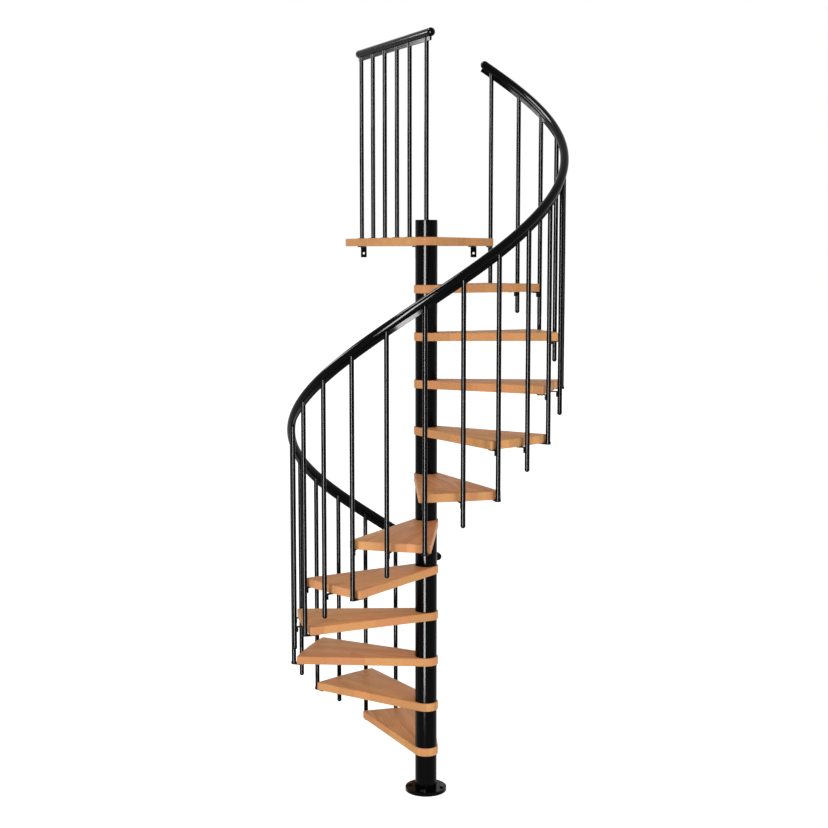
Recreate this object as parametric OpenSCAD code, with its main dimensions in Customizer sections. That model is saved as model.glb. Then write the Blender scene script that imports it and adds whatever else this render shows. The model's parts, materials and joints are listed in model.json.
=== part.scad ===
// Spiral staircase with timber treads, a stacked steel column and a helical handrail.
// Origin: centre of the floor flange's underside. +Z is up and +Y points at the wall
// that carries the landing. The stair climbs counter-clockwise seen from above.

/* [Stair] */
// Diameter over the outside of the handrail
stair_d = 1400; // [1160:10:1700]
// Height from the top of one tread to the top of the next
rise = 237; // [195:1:285]
// Direction of the front edge of the first tread
start_angle = 105; // [90:1:120]

/* [Treads] */
// Thickness of the treads and the landing
tread_t = 41; // [32:1:50]
// Distance by which the rounded hub of a tread stands out from the tubes
hub_proud = 6.5; // [3:0.5:12]
// Angle by which a tread passes its balusters at each side
tread_lap = 2.5; // [1.5:0.5:4]
// Gap between the corner of a tread and the centre line of the balusters
corner_inset = 16; // [13:1:30]
// Bow of the outer edge of a tread
edge_bow = 10; // [5:1:14]
// Radius of the outer corners of the treads and the landing
corner_r = 6; // [4:1:16]

/* [Landing] */
// Direction of the open side of the landing
landing_side_angle = 131.5; // [125:0.5:140]
// Height of the landing handrail above the landing
landing_rail_h = 1012; // [900:1:1100]
// Distance from the column axis to the first baluster on the landing
landing_first_gap = 195; // [150:1:230]
// Distance from the last landing baluster to the wall, along the handrail
landing_end_inset = 41; // [35:1:120]
// Diameter of the round foot of a landing baluster
foot_d = 52; // [36:1:56]
// Thickness of the foot of a landing baluster
foot_t = 4; // [3:0.5:8]

/* [Column] */
// Outer diameter of the spacer tubes
spacer_d = 111; // [90:1:134]
// Wall thickness of the spacer tubes
spacer_wall = 5; // [3:0.5:8]
// Outer diameter of the pole inside the column
pole_d = 48; // [38:1:60]
// Wall thickness of the pole
pole_wall = 4; // [3:0.5:6]
// Height of the column above the landing
column_top = 84; // [50:1:140]
// Thickness of the lid on the column
lid_t = 6; // [4:0.5:10]
// Diameter of the floor flange
flange_d = 212; // [190:1:260]
// Thickness of the floor flange
flange_t = 20; // [12:1:25]
// Diameter of the circle through the floor bolts
bolt_circle_d = 166; // [150:1:175]
// Diameter of the floor bolt holes
bolt_hole_d = 12; // [9:0.5:16]
// Direction of the first floor bolt
bolt_angle = 272.5; // [0:0.5:360]

/* [Balusters] */
// Diameter of the balusters
baluster_d = 23; // [16:1:27]

/* [Clips] */
// Thickness of the plates and legs of the clips
clip_t = 5; // [3:0.5:6]
// Reach of the clip plates under a tread
clip_reach = 34; // [25:1:45]
// Wall of the cup that holds the foot of a baluster
cup_wall = 2; // [1.5:0.5:4]
// Height of the cup above the underside of the tread
cup_h = 8; // [4:1:30]
// Width of the angle that steadies a baluster that runs on downwards
angle_w = 20; // [14:1:24]
// Depth of that angle below the tread
angle_drop = 28; // [15:1:40]

/* [Handrail] */
// Diameter of the handrail
rail_d = 42; // [34:1:51]
// Width of the strip under the handrail
strip_w = 10; // [6:1:12]
// Depth of the strip under the handrail
strip_h = 18; // [12:1:25]
// Height of the handrail's top above the front edge of a tread
handrail_h = 913; // [850:1:950]
// Angle by which the handrail passes the first baluster
rail_low_end = 5; // [3:0.5:8]
// Angle by which the handrail passes the last baluster
rail_high_end = 3.5; // [3:0.5:8]

/* [Wall brackets] */
// Spacing of the brackets along the wall
bracket_pitch = 310; // [250:1:360]
// Width of a bracket
bracket_w = 32; // [28:1:45]
// Thickness of the bracket steel
bracket_t = 5; // [4:0.5:8]
// Length of the leg under the landing
bracket_reach = 62; // [50:1:90]
// Length of the leg on the wall
bracket_drop = 60; // [50:1:90]
// Diameter of the wall screw hole
bracket_hole_d = 13; // [8:0.5:14]
// Distance of the wall screw hole from the lower end of the leg
bracket_hole_inset = 22; // [15:0.5:30]

/* [Hidden] */
tread_count = 11;
step_angle = 30;
fit_gap = 0.3;
slot_gap = 0.8;
// Rounds stand this much proud of the edges that they join
blend = 0.05;
steel = [0.06, 0.06, 0.065];
timber = [0.78, 0.56, 0.36];
$fn = 96;

// Places shared by the pieces
landing_z = rise * (tread_count + 1);
column_h = landing_z + column_top;
spigot_top = 2 * flange_t;
tread_hub_r = spacer_d / 2 + hub_proud;
baluster_r = (stair_d - rail_d) / 2;
corner_rad = baluster_r - corner_inset;
half_tread = step_angle / 2 + tread_lap;
edge_x = corner_rad * cos(half_tread);
half_edge = corner_rad * sin(half_tread);
bow_r = (half_edge * half_edge + edge_bow * edge_bow) / (2 * edge_bow);
bow_x = edge_x + edge_bow - bow_r;
rail_rad = rail_d / 2;
rail_slope = atan(rise / (step_angle * PI / 180 * baluster_r));
rail_offset = handrail_h - rail_rad / cos(rail_slope);
landing_rail_z = landing_z + landing_rail_h - rail_rad;
baluster_last = 2 * tread_count;
landing_bars = 5;

function top_z(step) = step * rise;
function tread_mid(step) = start_angle + (step - 0.5) * step_angle;
function baluster_angle(k) = start_angle + k * step_angle / 2;
function rail_z(angle) = rail_offset + rise * (1 + (angle - start_angle) / step_angle);

// Lower end of baluster k on the spiral
function baluster_foot_z(k) = max(k, 1) / 2 * rise - tread_t;

// Column
// The pole stands on the flange inside a spigot that also centres the first tube.
module floor_flange() {
    color(steel) difference() {
        union() {
            cylinder(d = flange_d, h = flange_t);
            cylinder(d = spacer_d - 2 * spacer_wall - 2 * fit_gap, h = spigot_top);
        }
        translate([0, 0, flange_t]) cylinder(d = pole_d + 2 * fit_gap, h = spigot_top);
        for (i = [0 : 3])
            rotate(bolt_angle + 90 * i) translate([bolt_circle_d / 2, 0, -1])
                cylinder(d = bolt_hole_d, h = flange_t + 2);
    }
}

module centre_pole() {
    color(steel) tube(pole_d, pole_wall, flange_t, column_h - lid_t);
}

module tube(d, wall, z0, z1) {
    translate([0, 0, z0]) difference() {
        cylinder(d = d, h = z1 - z0);
        translate([0, 0, -1]) cylinder(d = d - 2 * wall, h = z1 - z0 + 2);
    }
}

// Spacer tube between the top at z0 and the next tread
module spacer(step) {
    z0 = step == 1 ? flange_t : top_z(step - 1);
    color(steel) tube(spacer_d, spacer_wall, z0, top_z(step) - tread_t);
}

module spacer_top() {
    color(steel) tube(spacer_d, spacer_wall, landing_z, column_h - lid_t);
}

module column_lid() {
    color(steel) translate([0, 0, column_h - lid_t]) cylinder(d = spacer_d, h = lid_t);
}

// Treads
// The centre of a corner round lies corner_r inside the side edge and the bowed edge.
side_angle = half_tread - asin(tread_hub_r / corner_rad);
round_off = tread_hub_r - corner_r;
round_b = bow_x * cos(side_angle);
round_c = round_off * round_off + bow_x * bow_x + 2 * round_off * bow_x * sin(side_angle)
    - (bow_r - corner_r) * (bow_r - corner_r);
round_s = round_b + sqrt(round_b * round_b - round_c);
round_at = [round_s * cos(side_angle) - round_off * sin(side_angle),
    round_s * sin(side_angle) + round_off * cos(side_angle)];
round_bow_angle = atan2(round_at[1], round_at[0] - bow_x);
hub_touch = tread_hub_r * [-sin(side_angle), cos(side_angle)];
side_touch = round_at + corner_r * [-sin(side_angle), cos(side_angle)];
bow_touch = round_at + corner_r * [cos(round_bow_angle), sin(round_bow_angle)];
past_bow = [2 * edge_bow, 0];

function flip(p) = [p[0], -p[1]];

module tread_outline() {
    circle(r = tread_hub_r + blend);
    intersection() {
        polygon([hub_touch, flip(hub_touch), flip(side_touch), flip(bow_touch),
            flip(bow_touch) + past_bow, bow_touch + past_bow, bow_touch, side_touch]);
        translate([bow_x, 0]) circle(r = bow_r, $fn = 720);
    }
    translate(round_at) circle(r = corner_r + blend);
    translate(flip(round_at)) circle(r = corner_r + blend);
}

module tread(step) {
    color(timber) translate([0, 0, top_z(step) - tread_t]) rotate(tread_mid(step)) difference() {
        linear_extrude(tread_t) tread_outline();
        translate([0, 0, -1]) cylinder(d = pole_d + 2 * fit_gap, h = tread_t + 2);
    }
}

// Landing: the entry side matches a tread, the back edge runs straight along the wall.
landing_entry_angle = tread_mid(tread_count + 1) - 360 - half_tread;
entry_side = landing_entry_angle + asin(tread_hub_r / corner_rad);
wall_y = corner_rad * sin(landing_entry_angle);
entry_corner_x = corner_rad * cos(landing_entry_angle);
open_touch = tread_hub_r * [-sin(landing_side_angle), cos(landing_side_angle)];
open_corner_x = open_touch[0] + (wall_y - open_touch[1]) / tan(landing_side_angle);

// Inset of a round corner of radius r between the wall line and an edge at the given angle
function inset_x(corner_x, angle, r, side) =
    corner_x - r / tan(angle) + side * r / sin(angle);

module landing_outline() {
    entry_x = inset_x(entry_corner_x, entry_side, corner_r, -1);
    open_x = inset_x(open_corner_x, landing_side_angle, corner_r, 1);
    circle(r = tread_hub_r + blend);
    polygon([tread_hub_r * [sin(entry_side), -cos(entry_side)],
        [entry_x, wall_y - corner_r] + corner_r * [sin(entry_side), -cos(entry_side)],
        [entry_x, wall_y], [open_x, wall_y],
        [open_x, wall_y - corner_r]
            + corner_r * [-sin(landing_side_angle), cos(landing_side_angle)],
        open_touch]);
    translate([entry_x, wall_y - corner_r]) circle(r = corner_r + blend);
    translate([open_x, wall_y - corner_r]) circle(r = corner_r + blend);
}

module landing() {
    color(timber) translate([0, 0, landing_z - tread_t]) difference() {
        linear_extrude(tread_t) landing_outline();
        translate([0, 0, -1]) cylinder(d = pole_d + 2 * fit_gap, h = tread_t + 2);
    }
}

module wall_brackets() {
    middle_x = (entry_corner_x + open_corner_x) / 2;
    color(steel) for (i = [-1 : 1])
        translate([middle_x + i * bracket_pitch, wall_y, landing_z - tread_t]) bracket();
}

module bracket() {
    difference() {
        union() {
            translate([-bracket_w / 2, -bracket_t, -bracket_drop])
                cube([bracket_w, bracket_t, bracket_drop]);
            translate([-bracket_w / 2, -bracket_reach, -bracket_t])
                cube([bracket_w, bracket_reach, bracket_t]);
        }
        translate([0, 1, bracket_hole_inset - bracket_drop]) rotate([90, 0, 0])
            cylinder(d = bracket_hole_d, h = bracket_t + 2);
    }
}

// Balusters
// A round bar cut to fit under the rail, with a slot for the strip
module rail_end_cut(slope) {
    rotate([slope, 0, 0]) {
        translate([-baluster_d, -2 * rail_d, -rail_rad - fit_gap])
            cube([2 * baluster_d, 4 * rail_d, 3 * rail_d]);
        translate([-strip_w / 2 - slot_gap, -2 * rail_d, -rail_rad - strip_h - fit_gap])
            cube([strip_w + 2 * slot_gap, 4 * rail_d, strip_h + rail_d]);
    }
}

module spiral_baluster(k, round_foot) {
    angle = baluster_angle(k);
    z0 = baluster_foot_z(k) + (round_foot ? baluster_d / 2 : 0);
    rotate(angle) translate([baluster_r, 0, 0]) difference() {
        union() {
            translate([0, 0, z0]) cylinder(d = baluster_d, h = rail_z(angle) - z0);
            if (round_foot) translate([0, 0, z0]) sphere(d = baluster_d);
        }
        translate([0, 0, rail_z(angle)]) rail_end_cut(rail_slope);
    }
}

module joint_balusters() {
    color(steel) for (k = [0 : 2 : baluster_last]) spiral_baluster(k, k == 0);
}

module middle_balusters() {
    color(steel) for (k = [1 : 2 : baluster_last]) spiral_baluster(k, true);
}

// Distance from the column axis to landing baluster i, where 0 stands on the column lid
landing_last_s = wall_y / sin(landing_side_angle) - landing_end_inset;
landing_pitch = (landing_last_s - landing_first_gap) / (landing_bars - 1);

function landing_baluster_s(i) = i == 0 ? 0 : landing_first_gap + (i - 1) * landing_pitch;

module landing_balusters() {
    color(steel) for (i = [0 : landing_bars]) {
        z0 = i == 0 ? column_h : landing_z + foot_t;
        rotate(landing_side_angle) translate([landing_baluster_s(i), 0, 0]) rotate(90)
            difference() {
                translate([0, 0, z0]) cylinder(d = baluster_d, h = landing_rail_z - z0);
                translate([0, 0, landing_rail_z]) rail_end_cut(0);
            }
    }
}

module landing_feet() {
    color(steel) rotate(landing_side_angle) for (i = [1 : landing_bars])
        translate([landing_baluster_s(i), 0, landing_z]) cylinder(d = foot_d, h = foot_t);
}

// Clips
// Each is drawn in the frame of its tread, where offset_angle leads from the middle of the
// tread to the baluster.
function clip_at(offset_angle) = baluster_r * [cos(offset_angle), sin(offset_angle)];
function edge_x_at(y) = bow_x + sqrt(bow_r * bow_r - y * y);

// Plate under the tread, running out to x_end
module clip_plate(at, x_end, width) {
    x_start = edge_x_at(at[1]) - clip_reach;
    translate([x_start, at[1] - width / 2, -clip_t]) cube([x_end - x_start, width, clip_t]);
}

// A plate that runs out under the foot of the baluster and ends in a low cup around it
module end_clip(step) {
    at = clip_at(step_angle / 2);
    cup_d = baluster_d + 2 * fit_gap + 2 * cup_wall;
    rotate(tread_mid(step)) translate([0, 0, top_z(step) - tread_t]) difference() {
        union() {
            clip_plate(at, at[0], cup_d);
            translate([at[0], at[1], -clip_t]) cylinder(d = cup_d, h = clip_t + cup_h);
        }
        translate([at[0], at[1], 0]) cylinder(d = baluster_d + 2 * fit_gap, h = cup_h + 1);
    }
}

// An angle whose leg runs down the inner side of the baluster
module passing_clip(step, offset_angle) {
    at = clip_at(offset_angle);
    leg_end = at[0] - baluster_d / 2 - fit_gap;
    rotate(tread_mid(step)) translate([0, 0, top_z(step) - tread_t]) {
        clip_plate(at, leg_end, angle_w);
        translate([leg_end - clip_t, at[1] - angle_w / 2, -angle_drop])
            cube([clip_t, angle_w, angle_drop]);
    }
}

module end_clips() {
    color(steel) for (step = [1 : tread_count]) end_clip(step);
}

module passing_clips() {
    color(steel) for (step = [1 : tread_count + 1]) passing_clip(step, -step_angle / 2);
}

module middle_clips() {
    color(steel) for (step = [1 : tread_count]) passing_clip(step, 0);
}

// Handrail
rail_start = baluster_angle(0) - rail_low_end;
rail_end = baluster_angle(baluster_last) + rail_high_end;
rings_per_baluster = 3;
arc_points = 22;
neck_half = asin(strip_w / 2 / rail_rad);

// Section of the rail: a round with a strip below, as [outward, up] pairs
rail_section = concat(
    [for (i = [0 : arc_points - 1])
        let (a = -90 + neck_half + i * (360 - 2 * neck_half) / (arc_points - 1))
        rail_rad * [cos(a), sin(a)]],
    [[-strip_w / 2, -rail_rad - strip_h], [strip_w / 2, -rail_rad - strip_h]]);

// The rail has a ring at each baluster and between them, and one at each end
ring_angles = concat([rail_start],
    [for (i = [0 : rings_per_baluster * baluster_last]) baluster_angle(i / rings_per_baluster)],
    [rail_end]);

function rail_point(angle, p) = [
    (baluster_r + p[0]) * cos(angle) + p[1] * sin(rail_slope) * sin(angle),
    (baluster_r + p[0]) * sin(angle) - p[1] * sin(rail_slope) * cos(angle),
    rail_z(angle) + p[1] * cos(rail_slope)];

module handrail() {
    n = len(rail_section);
    last = len(ring_angles) - 1;
    ring_points = [for (angle = ring_angles, p = rail_section) rail_point(angle, p)];
    sides = [for (j = [0 : last - 1], i = [0 : n - 1])
        [j * n + i, j * n + (i + 1) % n, (j + 1) * n + (i + 1) % n, (j + 1) * n + i]];
    color(steel) polyhedron(ring_points, concat(
        [[for (i = [n - 1 : -1 : 0]) i]], sides, [[for (i = [0 : n - 1]) last * n + i]]));
}

// A half ball that closes a rail end, facing +Y
module rail_cap() {
    intersection() {
        sphere(r = rail_rad);
        translate([-rail_d, 0, -rail_d]) cube(2 * rail_d);
    }
}

module handrail_ends() {
    color(steel) {
        rotate(rail_start) translate([baluster_r, 0, rail_z(rail_start)])
            rotate([rail_slope, 0, 0]) rotate(180) rail_cap();
        rotate(rail_end) translate([baluster_r, 0, rail_z(rail_end)])
            rotate([rail_slope, 0, 0]) rail_cap();
    }
}

landing_rail_near = -2 * baluster_d;
landing_rail_far = landing_last_s + baluster_d;

module landing_handrail() {
    length = landing_rail_far - landing_rail_near;
    color(steel) rotate(landing_side_angle - 90)
        translate([0, landing_rail_near, landing_rail_z]) {
            rotate([-90, 0, 0]) cylinder(d = rail_d, h = length);
            translate([-strip_w / 2, 0, -rail_rad - strip_h])
                cube([strip_w, length, strip_h + rail_rad / 2]);
        }
}

module landing_rail_ends() {
    color(steel) rotate(landing_side_angle - 90) {
        translate([0, landing_rail_near, landing_rail_z]) rotate(180) rail_cap();
        translate([0, landing_rail_far, landing_rail_z]) rail_cap();
    }
}

floor_flange();
centre_pole();
column_lid();
for (step = [1 : tread_count + 1])
    spacer(step);
spacer_top();
for (step = [1 : tread_count])
    tread(step);
landing();
wall_brackets();
joint_balusters();
middle_balusters();
landing_balusters();
end_clips();
passing_clips();
middle_clips();
landing_feet();
handrail();
handrail_ends();
landing_handrail();
landing_rail_ends();
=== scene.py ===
"""Spiral staircase: glued oak treads on a black steel column, with balusters and handrails.

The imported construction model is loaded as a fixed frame. Each operator builds the finished
pieces of one group around it, and the last one sets up the studio.
"""

import json
import math

import bmesh
import bpy
import numpy as np
from mathutils import Matrix, Vector

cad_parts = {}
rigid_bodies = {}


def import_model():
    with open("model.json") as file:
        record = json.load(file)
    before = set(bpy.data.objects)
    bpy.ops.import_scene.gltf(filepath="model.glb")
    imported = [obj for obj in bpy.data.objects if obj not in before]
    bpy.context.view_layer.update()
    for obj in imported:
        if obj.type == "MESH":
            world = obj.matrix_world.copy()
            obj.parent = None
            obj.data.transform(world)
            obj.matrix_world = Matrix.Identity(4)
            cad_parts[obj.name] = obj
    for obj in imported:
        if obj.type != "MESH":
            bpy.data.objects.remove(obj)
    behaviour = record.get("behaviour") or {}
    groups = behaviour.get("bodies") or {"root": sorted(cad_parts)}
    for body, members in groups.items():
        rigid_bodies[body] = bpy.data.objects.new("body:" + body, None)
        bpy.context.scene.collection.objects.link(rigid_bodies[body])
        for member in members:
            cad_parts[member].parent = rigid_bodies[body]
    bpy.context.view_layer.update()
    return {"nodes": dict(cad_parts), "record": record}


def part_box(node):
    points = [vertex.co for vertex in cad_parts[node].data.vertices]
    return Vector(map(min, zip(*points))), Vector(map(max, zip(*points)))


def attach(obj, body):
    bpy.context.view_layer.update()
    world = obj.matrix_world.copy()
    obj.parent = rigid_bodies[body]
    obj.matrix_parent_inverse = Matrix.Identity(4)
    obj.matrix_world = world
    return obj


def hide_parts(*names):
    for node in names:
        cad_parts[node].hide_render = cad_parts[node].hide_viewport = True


for leftover in list(bpy.data.objects):
    bpy.data.objects.remove(leftover)

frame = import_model()

bl_info = {
    "name": "Spiral Staircase",
    "version": (1, 0, 0),
    "blender": (4, 5, 0),
    "location": "3D View > Sidebar > Staircase",
    "description": "Builds the finished pieces of a spiral staircase around its frame",
    "category": "Add Mesh",
}

MM = 0.001
STEPS_IN_A_TURN = 12
# Points of the construction model this near to each other are one corner.
WELD = 0.01 * MM
# Edges shorter than this are left out of the outline of a slab.
SHORTEST_EDGE = 0.3 * MM
# Walls of the column's tubes, and plates of the clips and brackets
TUBE_WALL = 5 * MM
PLATE = 5 * MM
# From the inner end of a clip to its two screws
SCREW_INSETS = (8 * MM, 23 * MM)
# Faces meeting at more than the first angle show an edge, and past the second it is rounded.
SHARP_ANGLE = math.radians(32)
CORNER_ANGLE = math.radians(40)
TREADS = [name for name in frame["nodes"] if name.startswith("tread_")]
TUBES = [name for name in frame["nodes"] if name.startswith("spacer_")]
MOUNTS = {mount["name"]: mount for mount in frame["record"]["mounts"]}


# Measures of the frame


def solids(node):
    """Points of each separate solid of a construction node, the lowest solid first."""
    shell = bmesh.new()
    shell.from_mesh(frame["nodes"][node].data)
    bmesh.ops.remove_doubles(shell, verts=shell.verts[:], dist=WELD)
    shell.verts.index_update()
    seen = set()
    found = []
    for seed in shell.verts:
        if seed.index in seen:
            continue
        seen.add(seed.index)
        members = [seed]
        for vert in members:
            for edge in vert.link_edges:
                other = edge.other_vert(vert)
                if other.index not in seen:
                    seen.add(other.index)
                    members.append(other)
        found.append(np.array([vert.co[:] for vert in members]))
    shell.free()
    return sorted(found, key=lambda points: round(points[:, 2].min(), 5))


def extent(node):
    low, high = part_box(node)
    return high - low


def fitted_ball(points):
    """Centre and radius of the ball that the points of a half ball lie on."""
    system = np.hstack([2 * points, np.ones((len(points), 1))])
    solution = np.linalg.lstsq(system, (points ** 2).sum(1), rcond=None)[0]
    centre = Vector(solution[:3])
    return centre, math.sqrt(solution[3] + centre.length_squared)


def bars(node):
    """Each upright round solid of a node, as its axis, its foot, its top and its radius."""
    found = []
    for points in solids(node):
        low, high = points.min(0), points.max(0)
        found.append({"x": (low[0] + high[0]) / 2, "y": (low[1] + high[1]) / 2,
                      "foot": low[2], "top": high[2], "radius": (high[0] - low[0]) / 2})
    return found


def outline(node):
    """Points around a slab of a node, in order and counter-clockwise seen from above."""
    shell = bmesh.new()
    shell.from_mesh(frame["nodes"][node].data)
    bmesh.ops.remove_doubles(shell, verts=shell.verts[:], dist=SHORTEST_EDGE)
    top = max(vert.co.z for vert in shell.verts)
    onward = {}
    for face in shell.faces:
        if face.normal.z > 0.9:
            for loop in face.loops:
                if loop.link_loop_radial_next.face.normal.z < 0.1:
                    onward[loop.vert] = loop.link_loop_next.vert
    start = max(onward, key=lambda vert: (vert.co.xy.length, vert.co.x))
    points = [start.co.copy()]
    vert = onward[start]
    while vert != start:
        points.append(vert.co.copy())
        vert = onward[vert]
    shell.free()
    return [Vector((point.x, point.y, top)) for point in points]


joint_bars = bars("joint_balusters")
middle_bars = bars("middle_balusters")
landing_bars = bars("landing_balusters")
spiral_bars = sorted(joint_bars + middle_bars, key=lambda bar: bar["top"])
rail_low, rail_radius = fitted_ball(solids("handrail_ends")[0])
rail_high = fitted_ball(solids("handrail_ends")[1])[0]
landing_rail_ends = [fitted_ball(points)[0] for points in solids("landing_rail_ends")]
landing_rail_ends.sort(key=lambda point: point.xy.length)
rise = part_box("tread_2")[1].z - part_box("tread_1")[1].z
tread_thickness = extent("tread_1").z
step_angle = math.tau / STEPS_IN_A_TURN
ring_radius = rail_low.xy.length
rail_sweep = (rail_high.z - rail_low.z) / rise * step_angle
rail_start = math.atan2(rail_low.y, rail_low.x)
rail_slope = math.atan2(rise, step_angle * ring_radius)
strip_depth = landing_rail_ends[0].z - rail_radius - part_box("landing_handrail")[0].z
column_radius = extent("spacer_2").x / 2


# Sizes and colours that a user would change


def linear(hex_colour):
    """Linear colour of an sRGB hex value."""
    values = [int(hex_colour[i:i + 2], 16) / 255 for i in (1, 3, 5)]
    return tuple(v / 12.92 if v <= 0.04045 else ((v + 0.055) / 1.055) ** 2.4 for v in values)


def length_property(name, description, default):
    return bpy.props.FloatProperty(
        name=name, description=description, default=default, unit="LENGTH", subtype="DISTANCE",
        precision=4)


def colour_property(name, description, hex_colour):
    return bpy.props.FloatVectorProperty(
        name=name, description=description, default=linear(hex_colour), subtype="COLOR",
        min=0, max=1)


class StaircaseSizes(bpy.types.PropertyGroup):
    tread_round: length_property(
        "Tread Rounding", "Radius of the rounded edges of the treads", 3 * MM)
    steel_round: length_property(
        "Steel Rounding", "Width of the broken edges of the steel pieces", 1 * MM)
    clip_round: length_property(
        "Clip Rounding", "Radius of the edges of the moulded clips", 0.8 * MM)
    baluster: length_property(
        "Baluster Diameter", "Diameter of the round bars", 2 * round(middle_bars[1]["radius"], 4))
    cap_collar: length_property(
        "Cap Collar", "Height of the collar of the plug at the foot of a baluster", 4 * MM)
    rail: length_property("Handrail Diameter", "Diameter of the handrail", 2 * rail_radius)
    strip_width: length_property(
        "Strip Width", "Width of the flat bar under the handrail", 10 * MM)
    rail_collar: length_property(
        "End Cap Collar", "Length of the collar of the handrail's end caps", 9 * MM)
    screw: length_property("Screw Head", "Diameter of the heads of the small screws", 9 * MM)
    bolt: length_property("Bolt Head", "Width across the corners of a floor bolt's head", 19 * MM)


class StaircaseFinish(bpy.types.PropertyGroup):
    oak_light: colour_property("Oak", "Colour of the early wood", "#ECAD75")
    oak_dark: colour_property("Oak Grain", "Colour of the late wood and the pores", "#B5743F")
    coat: colour_property("Powder Coat", "Colour of the coated steel", "#040405")
    nylon: colour_property("Moulded Nylon", "Colour of the clips and plugs", "#0A0A0C")
    vinyl: colour_property("Handrail Vinyl", "Colour of the handrail", "#040404")
    stave_width: length_property("Stave Width", "Width of one glued stave of oak", 42 * MM)
    stave_length: length_property("Stave Length", "Length of one glued stave of oak", 480 * MM)


# Mesh and piece helpers


def placed(name, data):
    """A new object in the scene."""
    item = bpy.data.objects.new(name, data)
    bpy.context.scene.collection.objects.link(item)
    return item


def add_piece(name, mesh, material, nodes):
    """A finished piece: smooth where it is round, riding on the frame, standing for its nodes."""
    mesh.name = name
    mesh.materials.clear()
    mesh.materials.append(material)
    mesh.polygons.foreach_set("use_smooth", [True] * len(mesh.polygons))
    mesh.set_sharp_from_angle(angle=SHARP_ANGLE)
    piece = placed(name, mesh)
    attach(piece, "root")
    if nodes:
        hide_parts(*nodes)
    return piece


def turned(profile, segments=48, place=Matrix.Identity(4), ring=False):
    """Mesh of a profile of (radius, height) points turned about the Z axis of a place."""
    shell = bmesh.new()
    rows = []
    for radius, height in profile:
        count = segments if radius > 0 else 1
        rows.append([shell.verts.new(place @ Vector((
            radius * math.cos(math.tau * i / segments),
            radius * math.sin(math.tau * i / segments), height))) for i in range(count)])
    pairs = list(zip(rows, rows[1:]))
    if ring:
        pairs.append((rows[-1], rows[0]))
    for lower, upper in pairs:
        for i in range(segments):
            corners = [lower[i % len(lower)], lower[(i + 1) % len(lower)],
                       upper[(i + 1) % len(upper)], upper[i % len(upper)]]
            shell.faces.new(list(dict.fromkeys(corners)))
    return finished(shell)


def mesh_of(shell):
    """Mesh of a shell, which is freed."""
    mesh = bpy.data.meshes.new("shell")
    shell.to_mesh(mesh)
    shell.free()
    return mesh


def finished(shell):
    """Mesh of a closed shell with its faces turned outwards."""
    bmesh.ops.recalc_face_normals(shell, faces=shell.faces[:])
    return mesh_of(shell)


def joined(meshes):
    """One mesh of several."""
    shell = bmesh.new()
    for mesh in meshes:
        shell.from_mesh(mesh)
        bpy.data.meshes.remove(mesh)
    return mesh_of(shell)


def evaluated(item):
    """Plain mesh of an object with its modifiers applied. The object is removed."""
    bpy.context.view_layer.update()
    graph = bpy.context.evaluated_depsgraph_get()
    mesh = bpy.data.meshes.new_from_object(item.evaluated_get(graph))
    bpy.data.objects.remove(item)
    return mesh


def chamfered_disc(radius, low, high, edge):
    return [(0, low), (radius - edge, low), (radius, low + edge), (radius, high - edge),
            (radius - edge, high), (0, high)]


def softened(node, width, segments=2):
    """Copy of a construction node with whole flat faces and rounded edges."""
    shell = bmesh.new()
    shell.from_mesh(frame["nodes"][node].data)
    bmesh.ops.remove_doubles(shell, verts=shell.verts[:], dist=WELD)
    bmesh.ops.dissolve_limit(
        shell, angle_limit=math.radians(0.2), verts=shell.verts[:], edges=shell.edges[:])
    edges = [edge for edge in shell.edges
             if edge.is_manifold and edge.calc_face_angle() > CORNER_ANGLE]
    bmesh.ops.bevel(shell, geom=edges, offset=width, segments=segments, profile=0.5,
                    affect="EDGES", clamp_overlap=True)
    return mesh_of(shell)


def bridge(shell, rings):
    """Faces between the rings of points of a section."""
    for lower, upper in zip(rings, rings[1:]):
        count = len(lower)
        for i in range(count):
            shell.faces.new([lower[i], lower[(i + 1) % count],
                             upper[(i + 1) % count], upper[i]])


def slab(points, thickness, rounding, segments=3):
    """Slab under an outline, with rounded upper and lower edges."""
    count = len(points)
    inward = []
    for i, point in enumerate(points):
        before = (point - points[i - 1]).normalized()
        after = (points[(i + 1) % count] - point).normalized()
        along = (before + after).normalized()
        inward.append(Vector((-along.y, along.x, 0)) / max(before.dot(along), 0.5))
    rows = []
    for side, base in ((-1, points[0].z - thickness), (1, points[0].z)):
        turns = [math.pi / 2 * i / segments for i in range(segments + 1)]
        for turn in turns if side < 0 else reversed(turns):
            # At turn 0 the row lies in the flat face, at a right angle in the side.
            inset = rounding * (1 - math.sin(turn))
            height = base - side * rounding * (1 - math.cos(turn))
            rows.append([point + step * inset for point, step in zip(points, inward)])
            for point in rows[-1]:
                point.z = height
    shell = bmesh.new()
    rings = [[shell.verts.new(point) for point in row] for row in rows]
    bridge(shell, rings)
    shell.faces.new(list(reversed(rings[0])))
    shell.faces.new(rings[-1])
    return finished(shell)


def set_grain(mesh, angle, base, number):
    """Stores where each point lies in the board: along the staves, across them and up."""
    turn = Matrix.Rotation(-angle, 3, "Z")
    grain = mesh.attributes.new("grain", "FLOAT_VECTOR", "POINT")
    for vert, value in zip(mesh.vertices, grain.data):
        value.vector = turn @ (vert.co - Vector((0, 0, base)))
    board = mesh.attributes.new("board", "FLOAT", "POINT")
    board.data.foreach_set("value", [float(number)] * len(mesh.vertices))


# Node helpers


def add_node(tree, kind, inputs=None, **settings):
    """A node with its settings, and each input a value or a link from a socket."""
    node = tree.nodes.new(kind)
    for name, value in settings.items():
        setattr(node, name, value)
    for key, source in (inputs or {}).items():
        if isinstance(source, bpy.types.NodeSocket):
            tree.links.new(source, node.inputs[key])
        else:
            node.inputs[key].default_value = source
    return node


def math_node(tree, operation, *values):
    """Result of a math node on values or sockets."""
    return add_node(tree, "ShaderNodeMath", dict(enumerate(values)),
                    operation=operation).outputs[0]


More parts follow.
